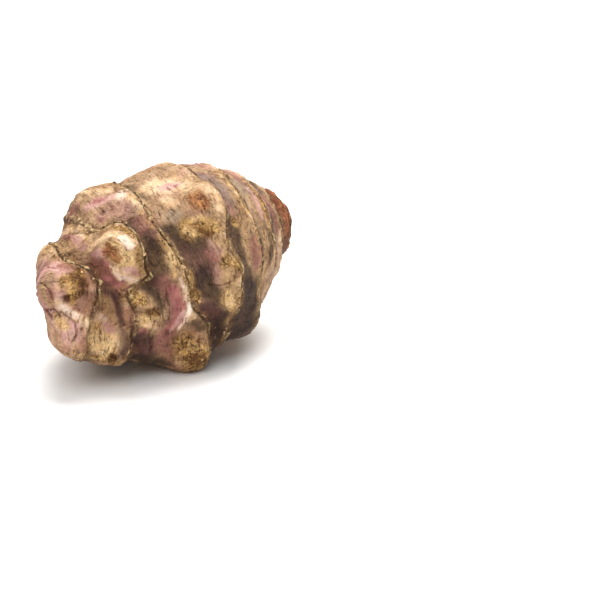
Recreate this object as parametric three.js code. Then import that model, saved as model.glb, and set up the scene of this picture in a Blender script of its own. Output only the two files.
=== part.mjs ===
// A Jerusalem artichoke tuber, lying on a table, as a standalone three.js part.
//
// Units are millimetres, +Z is up, and the origin is under the middle of the tuber, on the table.
// The tuber's own axis runs along X: its bud end, with the crown of young knobs, is at -X, and the
// stem end, where it broke off its runner, is at +X. It grew as one piece, so it is one solid.
import * as THREE from "three";
import { mergeVertices } from "three/addons/utils/BufferGeometryUtils.js";

// Driving dimensions.
const length = 88; // from the crown to the stem scar
const thickness = 51; // of the body where it is fattest, without its knobs
const fattest = { at: 4, lift: 2.5 }; // that place, and how far the body's middle is above the axis there
const axisHeight = 26.5; // of the tuber's axis over the table
const axisAside = 0.4; // how far the axis lies towards the back, which centres the whole tuber
const blend = 2; // how softly one swelling runs into the next
const rim = { height: 0.9, budSide: 3.4, stemSide: 1.9 }; // of the swollen rim along each leaf scar
const facets = 19; // how finely the skin is divided
const stretch = 1.45; // how much longer than thick the tuber is, for evenly spread facets
const stemScar = length / 2; // station of the flat scar where the runner broke off
const farthest = length; // a distance from the middle that is outside the tuber all round

// The body is two half spheroids, back to back. Towards its end each half drifts by side millimetres
// to the back (+Y) and lift millimetres upwards.
const budHalf = { length: 40, side: -4, lift: -8 };
const stemHalf = { length: 33, side: 5, lift: 1.5 };
const neck = { radius: 9.5, side: 2, lift: 6 };

// A knob grows out from the axis at a station, in a direction turned from straight up towards the
// front (-Y), and leans towards the bud end. Reach is how far its rounded tip stands from the axis.
// The tuber rests on the heel in front and on the keel and the sole behind.
const knobs = {
  crown: { at: -25, turn: 75, lean: 12, reach: 17, girth: 7 },
  chin: { at: -26, turn: 118, lean: 11, reach: 23.5, girth: 7 },
  tip: { at: -26, turn: 5, lean: 7, reach: 13, girth: 7 },
  temple: { at: -22, turn: -100, lean: 5, reach: 20, girth: 6 },
  brow: { at: -16, turn: -30, lean: 2, reach: 26.5, girth: 8 },
  cheek: { at: -19, turn: 50, lean: 3, reach: 26, girth: 6 },
  jaw: { at: -22, turn: 132, lean: 5, reach: 26.5, girth: 9 },
  flank: { at: -18, turn: 95, lean: 0, reach: 28, girth: 7 },
  keel: { at: -16, turn: 200, lean: 0, reach: 28.5, girth: 7 },
  nape: { at: -8, turn: -70, lean: 0, reach: 28, girth: 7 },
  lap: { at: -13, turn: 135, lean: 0, reach: 28, girth: 9 },
  heel: { at: -3, turn: 138, lean: 0, reach: 33.5, girth: 8 },
  shoulder: { at: 4, turn: 35, lean: 0, reach: 32, girth: 7 },
  dimple: { at: 9, turn: 75, lean: 0, reach: 28, girth: 5 },
  bead: { at: 9, turn: 97, lean: 0, reach: 27, girth: 5 },
  spur: { at: 9, turn: -110, lean: 0, reach: 29, girth: 7 },
  sole: { at: 15, turn: 200, lean: 0, reach: 28, girth: 7 },
  rump: { at: 12, turn: 122, lean: 0, reach: 29, girth: 9 },
};

// A leaf scar rings the tuber at each node, slanted so that it lies slant millimetres nearer the stem
// on the side it is turned to. Where it steps over a knob it has a shelf, moved by shift millimetres
// between two turns and eased over some degrees at both ends.
const leafScars = [
  { at: -36, slant: 0, side: 0, shelves: [{ from: 50, to: 94, ease: 16, shift: 6 }] },
  { at: -25, slant: 2, side: 140, shelves: [{ from: 27, to: 75, ease: 4, shift: 7 }] },
  {
    at: -12,
    slant: 0,
    side: 0,
    shelves: [
      { from: 60, to: 170, ease: 25, shift: 6 },
      { from: 104, to: 150, ease: 12, shift: 7 },
    ],
  },
  {
    at: 6,
    slant: 1.5,
    side: 80,
    shelves: [
      { from: 24, to: 50, ease: 7, shift: 2 },
      { from: 72, to: 104, ease: 8, shift: 2.5 },
    ],
  },
  { at: 17.5, slant: 0, side: 0, shelves: [{ from: 45, to: 85, ease: 12, shift: 2.5 }] },
  { at: 26, slant: 1, side: 50, shelves: [] },
  { at: 32, slant: 1, side: 50, shelves: [] },
];

function outward(turn) {
  const angle = THREE.MathUtils.degToRad(turn);
  return new THREE.Vector3(0, -Math.sin(angle), Math.cos(angle));
}

// Balls that fill one half of the body, from its fattest place towards one end.
function bodyBalls(half, direction) {
  const radius = thickness / 2;
  const span = Math.sqrt(half.length ** 2 - radius ** 2);
  return [0, 0.35, 0.65, 0.9].map((share) => {
    const drift = THREE.MathUtils.smoothstep(share, 0, 1);
    return {
      middle: new THREE.Vector3(
        fattest.at + direction * share * span,
        half.side * drift,
        fattest.lift + half.lift * drift,
      ),
      radius: radius * Math.sqrt(1 - share ** 2),
    };
  });
}

// The solid is made of tapers: cones with round ends, each from one ball to another.
function tuberTapers() {
  const neckBall = {
    middle: new THREE.Vector3(stemScar - neck.radius, neck.side, neck.lift),
    radius: neck.radius,
  };
  const spine = [...bodyBalls(budHalf, -1).reverse(), ...bodyBalls(stemHalf, 1).slice(1), neckBall];
  const tapers = spine.slice(1).map((ball, i) => [spine[i], ball]);
  for (const { at, turn, lean, reach, girth } of Object.values(knobs)) {
    const root = new THREE.Vector3(at, 0, 0);
    const tip = outward(turn).multiplyScalar(reach - girth).add(root);
    tip.x -= lean;
    tapers.push([
      { middle: root, radius: girth * 1.25 },
      { middle: tip, radius: girth },
    ]);
  }
  return tapers;
}

const tapers = tuberTapers();

// Distance from a point to a taper; negative inside.
function toTaper(p, from, to) {
  const along = new THREE.Vector3().subVectors(to.middle, from.middle);
  const reached = new THREE.Vector3().subVectors(p, from.middle);
  const share = THREE.MathUtils.clamp(reached.dot(along) / along.lengthSq(), 0, 1);
  return reached.addScaledVector(along, -share).length() - THREE.MathUtils.lerp(from.radius, to.radius, share);
}

// Station of a leaf scar at a turn.
function scarStation(scar, turn) {
  let station = scar.at + scar.slant * Math.cos(THREE.MathUtils.degToRad(turn - scar.side));
  for (const { from, to, ease, shift } of scar.shelves) {
    const middle = (from + to) / 2;
    const aside = Math.abs(THREE.MathUtils.euclideanModulo(turn - middle + 180, 360) - 180);
    const edge = (to - from) / 2;
    station += shift * (1 - THREE.MathUtils.smoothstep(aside, edge - ease, edge + ease));
  }
  return station;
}

// How far the rims of the leaf scars raise the skin, so that it steps down past each of them.
function scarRelief(p) {
  const turn = THREE.MathUtils.radToDeg(Math.atan2(-p.y, p.z));
  let raised = 0;
  for (const scar of leafScars) {
    const past = p.x - scarStation(scar, turn);
    const reach = past < 0 ? rim.budSide : rim.stemSide;
    raised += rim.height * Math.exp(-((past / reach) ** 2));
  }
  return raised;
}

// Signed distance to the skin, with every swelling blended into its neighbours.
function skinDistance(p) {
  let sum = 0;
  for (const [from, to] of tapers) sum += Math.exp(-toTaper(p, from, to) / blend);
  return -blend * Math.log(sum) - scarRelief(p);
}

// The skin's outermost point in a direction from the tuber's middle.
function skinPoint(direction) {
  const p = direction.clone().multiplyScalar(farthest);
  for (let step = 0; step < 80; step++) {
    const distance = skinDistance(p);
    if (distance < 0.001) break;
    p.addScaledVector(direction, -0.7 * distance);
  }
  return p;
}

function tuberGeometry() {
  const ball = new THREE.IcosahedronGeometry(1, facets);
  ball.deleteAttribute("normal");
  ball.deleteAttribute("uv");
  const skin = mergeVertices(ball);
  const places = skin.getAttribute("position");
  const direction = new THREE.Vector3();
  for (let i = 0; i < places.count; i++) {
    direction.fromBufferAttribute(places, i);
    direction.x *= stretch;
    const p = skinPoint(direction.normalize());
    p.x = Math.min(p.x, stemScar);
    p.z = Math.max(p.z, -axisHeight);
    places.setXYZ(i, p.x, p.y, p.z);
  }
  skin.computeVertexNormals();
  return skin;
}

const skinMaterial = new THREE.MeshStandardMaterial({ color: 0xb08a68, roughness: 0.62, metalness: 0 });
const tuber = new THREE.Mesh(tuberGeometry(), skinMaterial);
tuber.name = "tuber";
tuber.position.set(0, axisAside, axisHeight);

const artichoke = new THREE.Group();
artichoke.add(tuber);
export default artichoke;
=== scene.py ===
import math

import bmesh
import bpy
import numpy as np
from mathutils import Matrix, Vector


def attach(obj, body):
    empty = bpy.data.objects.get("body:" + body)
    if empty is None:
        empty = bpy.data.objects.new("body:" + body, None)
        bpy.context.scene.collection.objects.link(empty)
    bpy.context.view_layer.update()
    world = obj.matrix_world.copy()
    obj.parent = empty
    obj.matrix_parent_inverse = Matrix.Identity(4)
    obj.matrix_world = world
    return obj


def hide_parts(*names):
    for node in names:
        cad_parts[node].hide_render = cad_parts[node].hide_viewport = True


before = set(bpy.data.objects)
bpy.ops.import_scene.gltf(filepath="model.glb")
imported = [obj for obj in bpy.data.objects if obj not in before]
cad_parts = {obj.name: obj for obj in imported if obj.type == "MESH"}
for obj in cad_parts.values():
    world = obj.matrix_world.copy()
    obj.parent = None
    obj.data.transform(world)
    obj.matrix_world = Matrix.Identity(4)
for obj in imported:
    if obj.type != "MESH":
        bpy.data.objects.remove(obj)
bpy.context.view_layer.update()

scene = bpy.context.scene
mm = 0.001

# Sizes are in millimetres. A place on the tuber is told by "at", its station along the axis towards the
# stem end, and by "turn", in degrees round the axis from straight up towards the front.
tuber = {
    "length": 88,
    "thickness": 51,  # of the body where it is fattest, without its knobs
    "fattest": {"at": 4, "lift": 2.5},
    "axisPlace": (0, 0.4, 26.5),
    "blend": 2,  # how softly one swelling runs into the next
    "budHalf": {"length": 40, "side": -4, "lift": -8},
    "stemHalf": {"length": 33, "side": 5, "lift": 1.5},
    "neck": {"radius": 9.5, "side": 2, "lift": 6},
    "voxel": 0.465,  # of the skin when it is divided finely
    "internode": 9,  # the usual distance between leaf scars
}
axisPlace = np.array(tuber["axisPlace"])


# gives the values in each row of a table their names
def named(names, rows):
    return {row: dict(zip(names.split(), values)) for row, values in rows.items()}


# a knob grows out from the axis and leans towards the bud end; reach is how far out its tip stands
knobs = named("at turn lean reach girth", {
    "crown": (-25, 75, 12, 17, 7),
    "chin": (-26, 118, 11, 23.5, 7),
    "tip": (-26, 5, 7, 13, 7),
    "temple": (-22, -100, 5, 20, 6),
    "brow": (-16, -30, 2, 26.5, 8),
    "cheek": (-19, 50, 3, 26, 6),
    "jaw": (-22, 132, 5, 26.5, 9),
    "flank": (-18, 95, 0, 28, 7),
    "keel": (-16, 200, 0, 28.5, 7),
    "nape": (-8, -70, 0, 28, 7),
    "lap": (-13, 135, 0, 28, 9),
    "heel": (-3, 138, 0, 33.5, 8),
    "shoulder": (4, 35, 0, 32, 7),
    "dimple": (9, 75, 0, 28, 5),
    "bead": (9, 97, 0, 27, 5),
    "spur": (9, -110, 0, 29, 7),
    "sole": (15, 200, 0, 28, 7),
    "rump": (12, 122, 0, 29, 9),
})

# a leaf scar rings the tuber at each node, and shows best at its bold turn; a shelf, from one turn to
# another and eased over some degrees at both, shifts it over a knob
leafScars = named("at slant side bold shelves", {
    "crown": (-36, 0, 0, 35, [(50, 94, 16, 6)]),
    "cheek": (-25, 2, 140, 35, [(27, 75, 4, 7)]),
    "waist": (-12, 0, 0, 42, [(60, 170, 25, 6), (104, 150, 12, 7)]),
    "belly": (6, 1.5, 80, 118, [(24, 50, 7, 2), (72, 104, 8, 2.5)]),
    "hip": (17.5, 0, 0, 52, [(45, 85, 12, 2.5)]),
    "neck": (26, 1, 50, 50, []),
    "collar": (32, 1, 50, 40, []),
    "stalk": (38, 0.5, 90, 60, []),
})
scarForm = {
    "rim": 0.9, "rimReach": 3.4, "rimFall": 0.9,  # the swollen bud side, which falls off on the stem side
    "cut": 0.65, "cutPast": 0.3, "cutReach": 0.28,  # the narrow gap under the papery edge
    "lip": 0.65, "lipPast": 1.0, "lipReach": 0.42,  # that edge
    "dip": 0.4, "dipPast": 3.0, "dipReach": 1.8,
    "cutDeep": {"mean": 0.6, "swing": 1.1, "patch": 8},  # how the gap and the dip come and go along it
    "lipHigh": {"mean": 0.4, "swing": 1.4, "patch": 2.5},
    "wander": 0.5, "wanderPatch": 6, "jitter": 0.25, "jitterPatch": 1.7,  # how it strays from its ring
    "ring": 22,  # radius of that ring
    "gather": 0.42, "gatherReach": 1.5,  # how much closer the skin is divided beside it
    "faint": 0.2, "boldReach": 50,  # how it fades away from its bold turn
}

# pits where buds sit or were lost, each with a swollen edge; the form tells how ragged that edge is, and
# how far out and how wide it is beside the pit's radius
eyeForm = {"ragged": 0.3, "raggedPatch": 1.5, "rimOut": 1.7, "rimWide": 0.6}
eyes = named("at turn radius depth rim", {
    "crown": (-39, 80, 1.7, 1.5, 0.5),
    "chin": (-37, 103, 0.8, 0.9, 0.25),
    "jaw": (-28, 127, 1.1, 0.9, 0.5),
    "cheek": (-26.4, 51, 1.9, 0.5, 0.3),
    "brow": (-21, 8, 0.9, 0.5, 0.4),
    "tip": (-31.5, 4, 0.9, 0.6, 0.4),
    "flankLeft": (-19.5, 94, 0.7, 0.7, 0.3),
    "flankRight": (-16, 95, 0.6, 0.6, 0.2),
    "jowlHigh": (-30.5, 84, 0.6, 0.6, 0.2),
    "jowlLow": (-30, 94, 0.8, 0.5, 0.3),
    "shoulder": (2.5, 36, 2.3, 0.4, 0.2),
    "temple": (-28, -98, 1.6, 1.4, 0.5),
    "nape": (-9, -70, 1.8, 0.9, 0.4),
    "spur": (8, -110, 2.0, 0.7, 0.3),
    "saddle": (-20, -140, 1.2, 0.9, 0.4),
    "back": (20, -60, 1.3, 0.7, 0.4),
    "under": (24, 165, 1.2, 0.7, 0.3),
})

# grooves and low ridges, each through a few places (at, turn)
folds = named("rise reach way", {
    "chinLip": (0.8, 0.9, [(-41, 74), (-40.5, 86), (-39, 91), (-36.5, 97), (-35, 103)]),
    "cheekStreak": (0.5, 0.9, [(-27, 66), (-23, 71), (-19.5, 76)]),
    "chinHook": (-0.8, 0.35, [(-43, 101), (-43.4, 94), (-42.4, 91), (-41.4, 95)]),
    "chinFold": (-0.6, 0.5, [(-41, 92), (-38.5, 98), (-38.5, 106), (-40, 112)]),
    "crownFold": (-0.5, 0.4, [(-43.5, 50), (-43, 64), (-42.5, 76)]),
    "browFold": (-0.4, 0.5, [(-29, -2), (-27.5, 12), (-26.5, 22)]),
    "flankFold": (-0.7, 0.9, [(-24, 82), (-22.5, 96), (-23, 112), (-20, 124)]),
    "lapFold": (-0.5, 0.7, [(-17, 100), (-17.5, 112), (-16.5, 126)]),
    "bellyFold": (-0.35, 0.4, [(0, 84), (4, 86), (7, 84)]),
    "beadFold": (-0.35, 0.5, [(5, 90), (5, 97), (6, 104)]),
    "backFold": (-0.5, 0.6, [(-20, -60), (-17, -78), (-18, -96)]),
    "spurFold": (-0.4, 0.6, [(13, -90), (14, -104), (12, -120)]),
})

# large odd numbers that mix a cell's place into one random value, and a turn that hides the lattice's rows
lattice = {
    "primes": (73856093, 19349663, 83492791), "seedPrime": 40503, "seedStart": 977, "mixer": 1274126177,
    "turn": [[0.8, 0.36, -0.48], [-0.6, 0.48, -0.64], [0.0, 0.8, 0.6]], "seedShift": 31.7, "octaveSeed": 17,
}


# a repeatable random value from -1 to 1 for each cell
def latticeValue(cell, seed):
    mixed = np.bitwise_xor.reduce(cell * lattice["primes"], axis=1)
    mixed = mixed ^ (seed * lattice["seedPrime"] + lattice["seedStart"])
    mixed = ((mixed ^ (mixed >> 13)) * lattice["mixer"]) & 0x7FFFFFFF
    return ((mixed ^ (mixed >> 15)) & 0xFFFF) / 32768.0 - 1.0


# smooth random value from -1 to 1, with features of the given size
def noise(places, size, seed, octaves=3, fall=0.5):
    total, strength, most = np.zeros(len(places)), 1.0, 0.0
    turned = places @ np.array(lattice["turn"])
    for octave in range(octaves):
        scaled = turned * (2.0 ** octave / size) + lattice["seedShift"] * seed
        cell = np.floor(scaled).astype(np.int64)
        part = scaled - cell
        fade = part * part * (3 - 2 * part)
        value = np.zeros(len(places))
        for i in (0, 1):
            for j in (0, 1):
                for k in (0, 1):
                    weight = (fade[:, 0] if i else 1 - fade[:, 0]) * (fade[:, 1] if j else 1 - fade[:, 1])
                    weight = weight * (fade[:, 2] if k else 1 - fade[:, 2])
                    value += weight * latticeValue(cell + (i, j, k), seed + lattice["octaveSeed"] * octave)
        total += strength * value
        most += strength
        strength *= fall
    return total / most


# 0 below low, 1 above high, and smooth between
def ease(value, low, high):
    share = np.clip((value - low) / (high - low), 0, 1)
    return share * share * (3 - 2 * share)


def bell(value, middle, reach):
    return np.exp(-(((value - middle) / reach) ** 2))


def outward(turn):
    angle = math.radians(turn)
    return np.array([0.0, -math.sin(angle), math.cos(angle)])


ballShares = (0, 0.35, 0.65, 0.9)  # where a half's balls are, from its fattest place to its end
rootGirth = 1.25  # of a knob at the axis, beside its tip's


# balls that fill one half of the body, from its fattest place towards one end
def bodyBalls(half, direction):
    radius = tuber["thickness"] / 2
    span = math.sqrt(half["length"] ** 2 - radius ** 2)
    balls = []
    for share in ballShares:
        drift = ease(share, 0, 1)
        middle = (tuber["fattest"]["at"] + direction * share * span, half["side"] * drift,
                  tuber["fattest"]["lift"] + half["lift"] * drift)
        balls.append((np.array(middle), radius * math.sqrt(1 - share ** 2)))
    return balls


def tuberTapers():
    neck = tuber["neck"]
    neckMiddle = np.array([tuber["length"] / 2 - neck["radius"], neck["side"], neck["lift"]])
    neckBall = (neckMiddle, neck["radius"])
    spine = bodyBalls(tuber["budHalf"], -1)[::-1] + bodyBalls(tuber["stemHalf"], 1)[1:] + [neckBall]
    tapers = list(zip(spine[:-1], spine[1:]))
    for knob in knobs.values():
        root = np.array([knob["at"], 0.0, 0.0])
        tip = root + outward(knob["turn"]) * (knob["reach"] - knob["girth"]) - (knob["lean"], 0, 0)
        tapers.append(((root, knob["girth"] * rootGirth), (tip, knob["girth"])))
    return tapers


tapers = tuberTapers()


# signed distance from each place to the plain shape, negative inside
def skinDistance(places):
    total = np.zeros(len(places))
    for (start, startRadius), (end, endRadius) in tapers:
        along = end - start
        reached = places - start
        share = np.clip(reached @ along / (along @ along), 0, 1)
        gap = np.linalg.norm(reached - share[:, None] * along, axis=1)
        total += np.exp((startRadius + (endRadius - startRadius) * share - gap) / tuber["blend"])
    return -tuber["blend"] * np.log(total)


def skinSlope(places, step=0.05):
    slope = np.empty_like(places)
    for axis in range(3):
        nudge = np.zeros(3)
        nudge[axis] = step
        slope[:, axis] = skinDistance(places + nudge) - skinDistance(places - nudge)
    return slope / (2 * step)


def toSkin(places, steps):
    for _ in range(steps):
        slope = skinSlope(places)
        places = places - slope * (skinDistance(places) / (slope ** 2).sum(1))[:, None]
    return places


probe = {"farthest": 45, "step": 0.1}


# the skin's place straight out from the axis
def onSkin(at, turn):
    outs = np.arange(0, probe["farthest"], probe["step"])
    ray = np.array([at, 0, 0.0]) + outs[:, None] * outward(turn)
    inside = np.nonzero(skinDistance(ray) < 0)[0]
    return ray[inside[-1]] if len(inside) else ray[0]


def turnOf(places):
    return np.degrees(np.arctan2(-places[:, 1], places[:, 2]))


# how many degrees one turn is from another, the short way round
def between(turn, other):
    return (turn - other + 180) % 360 - 180


def scarStation(scar, turns):
    stations = scar["at"] + scar["slant"] * np.cos(np.radians(turns - scar["side"]))
    for start, end, easing, shift in scar["shelves"]:
        aside = np.abs(between(turns, (start + end) / 2))
        edge = (end - start) / 2
        stations = stations + shift * (1 - ease(aside, edge - easing, edge + easing))
    return stations


# stations of a leaf scar as it strays from its ring, one for each degree
def strayedScar(scar, seed):
    form = scarForm
    turns = np.arange(360.0)
    ring = np.stack([np.cos(np.radians(turns)), np.sin(np.radians(turns)), 0 * turns], 1) * form["ring"]
    strayed = form["wander"] * noise(ring, form["wanderPatch"], seed)
    strayed += form["jitter"] * noise(ring, form["jitterPatch"], seed + 5, octaves=2)
    return scarStation(scar, turns) + strayed


degreesInRadian = 57.3


# how far each place is past each scar towards the stem end, measured square to the scar
def pastScars(places):
    turns = turnOf(places) % 360
    outs = np.maximum(np.hypot(places[:, 1], places[:, 2]), 3)  # never as little as on the axis itself
    past = []
    for seed, scar in enumerate(leafScars.values()):
        stations = strayedScar(scar, seed + 40)
        slopes = (np.roll(stations, -1) - np.roll(stations, 1)) / 2
        station = np.interp(turns, np.arange(360), stations, period=360)
        slope = np.interp(turns, np.arange(360), slopes, period=360) * degreesInRadian / outs
        past.append((places[:, 0] - station) / np.sqrt(1 + slope ** 2))
    return np.array(past)


# how plainly the nearest scar shows at each place
def scarBoldness(turns, past):
    bolds = np.array([scar["bold"] for scar in leafScars.values()])[np.abs(past).argmin(0)]
    faint = scarForm["faint"]
    return faint + (1 - faint) * bell(between(turns, bolds), 0, scarForm["boldReach"])


# a strength that changes from patch to patch
def comeAndGo(places, change, seed, most):
    swing = change["swing"] * noise(places, change["patch"], seed, octaves=2)
    return np.clip(change["mean"] + swing, 0, most)


def scarRelief(places, past):
    form = scarForm
    raised = np.zeros(len(places))
    for seed, gap in enumerate(past):
        strength = comeAndGo(places, form["cutDeep"], seed + 60, most=1.3)
        ragged = comeAndGo(places, form["lipHigh"], seed + 80, most=1.2)
        raised += form["rim"] * bell(gap, 0, np.where(gap < 0, form["rimReach"], form["rimFall"]))
        raised -= strength * form["cut"] * bell(gap, form["cutPast"], form["cutReach"])
        raised += ragged * form["lip"] * bell(gap, form["lipPast"], form["lipReach"])
        raised -= strength * form["dip"] * bell(gap, form["dipPast"], form["dipReach"])
    return raised


# distance from each place to an eye's middle
def toEye(places, eye):
    return np.linalg.norm(places - onSkin(eye["at"], eye["turn"]), axis=1)


def eyeRelief(places):
    raised = np.zeros(len(places))
    for seed, eye in enumerate(eyes.values()):
        radius = eye["radius"]
        ragged = noise(places, eyeForm["raggedPatch"], seed + 120, octaves=2)
        away = toEye(places, eye) + eyeForm["ragged"] * radius * ragged
        raised -= eye["depth"] * bell(away, 0, radius)
        raised += eye["rim"] * bell(away, eyeForm["rimOut"] * radius, eyeForm["rimWide"] * radius)
    return raised


far = 99.0
wayCuts = 6  # pieces that a way is cut into between two of its places


# distance from each place to a way across the skin, which runs through places (at, turn); slim makes
# it count as farther off towards both ends of the way
def toWay(places, way, slim=0.0):
    corners = np.arange(len(way))
    steps = np.linspace(0, len(way) - 1, wayCuts * (len(way) - 1) + 1)
    ats = np.interp(steps, corners, [at for at, turn in way])
    turns = np.interp(steps, corners, [turn for at, turn in way])
    path = np.array([onSkin(at, turn) for at, turn in zip(ats, turns)])
    nearest = np.full(len(places), far)
    for i in range(len(path) - 1):
        along = path[i + 1] - path[i]
        share = np.clip((places - path[i]) @ along / (along @ along + 1e-9), 0, 1)
        away = np.linalg.norm(places - path[i] - share[:, None] * along, axis=1)
        middle = np.sin(np.pi * (i + share) / (len(path) - 1))
        nearest = np.minimum(nearest, away / (1 - slim * (1 - middle)))
    return nearest


def foldRelief(foldGaps):
    raised = np.zeros(len(foldGaps[0]))
    for fold, away in zip(folds.values(), foldGaps):
        raised += fold["rise"] * bell(away, 0, fold["reach"])
    return raised


def addPiece(name, mesh):
    piece = bpy.data.objects.new(name, mesh)
    scene.collection.objects.link(piece)
    return piece


def evaluatedMesh(piece):
    bpy.context.view_layer.update()
    return bpy.data.meshes.new_from_object(piece.evaluated_get(bpy.context.evaluated_depsgraph_get()))


# a copy of the CAD solid's surface, divided finely enough for detail
def fineSkin():
    merged = bmesh.new()
    merged.from_mesh(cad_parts["tuber"].data)
    bmesh.ops.remove_doubles(merged, verts=merged.verts, dist=1e-6)
    rough = bpy.data.meshes.new("rough")
    merged.to_mesh(rough)
    merged.free()
    piece = addPiece("tuberSkin", rough)
    remesh = piece.modifiers.new("remesh", "REMESH")
    remesh.mode = "VOXEL"
    remesh.voxel_size = tuber["voxel"] * mm
    fine = evaluatedMesh(piece)
    piece.modifiers.clear()
    piece.data = fine
    return piece


def meshPlaces(mesh):
    places = np.empty(len(mesh.vertices) * 3)
    mesh.vertices.foreach_get("co", places)
    return places.reshape(-1, 3) / mm - axisPlace


skin = fineSkin()
print("skin divided:", len(skin.data.polygons), "faces")
places = toSkin(meshPlaces(skin.data), steps=4)
past = pastScars(places)
nearest = past[np.abs(past).argmin(0), np.arange(len(places))]
places[:, 0] -= scarForm["gather"] * nearest * bell(nearest, 0, scarForm["gatherReach"])
plain = toSkin(places, steps=2)
print("skin on its form")

past = pastScars(plain)
turns = turnOf(plain)
nearestPast = past[np.abs(past).argmin(0), np.arange(len(plain))]
sinceScar = np.where(past >= 0, past, far).min(0)  # distance past the last scar
untilScar = np.where(past < 0, -past, far).min(0)  # distance to the next one
passed = (past >= 0).sum(0)  # how many scars lie towards the bud end
span = np.minimum(sinceScar + untilScar, tuber["internode"])
grown = passed + np.where(passed > 0, sinceScar / span, -untilScar / span)  # whole numbers lie on the scars
# the place, with the scars set straight
grownPlace = np.stack([grown * tuber["internode"], plain[:, 1], plain[:, 2]], 1)
foldGaps = [toWay(plain, fold["way"]) for fold in folds.values()]

# tones of the skin, from 0 to 255, each with the one it is mottled with and how barky it is
tones = named("main second bark", {
    "tan": ((216, 180, 140), (192, 154, 116), 0.5),
    "beige": ((206, 172, 140), (180, 146, 114), 0.4),
    "cream": ((244, 214, 180), (230, 192, 152), 0.3),
    "pale": ((250, 232, 216), (240, 212, 194), 0.08),
    "lilac": ((220, 178, 170), (204, 158, 148), 0.2),
    "blush": ((188, 126, 120), (168, 106, 102), 0.15),
    "rose": ((174, 122, 110), (146, 98, 86), 0.3),
    "mauve": ((134, 95, 84), (106, 74, 64), 0.35),
    "plum": ((100, 63, 58), (76, 47, 43), 0.3),
    "gold": ((228, 188, 130), (204, 162, 106), 0.8),
    "honey": ((248, 214, 164), (230, 188, 134), 0.45),
    "umber": ((172, 128, 78), (138, 98, 60), 0.9),
    "taupe": ((112, 86, 64), (84, 64, 47), 0.45),
    # dusk is a dark brown that is also laid as painted shade on undersides
    "dusk": ((80, 58, 46), (60, 43, 34), 0.4),
    "rust": ((202, 142, 96), (176, 114, 74), 0.6),
    "russet": ((180, 108, 76), (144, 82, 58), 0.6),
    "fawn": ((190, 150, 132), (172, 130, 112), 0.3),
    "smoke": ((158, 134, 123), (130, 108, 98), 0.3),
    "ash": ((182, 158, 134), (158, 134, 110), 0.35),
})

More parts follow.
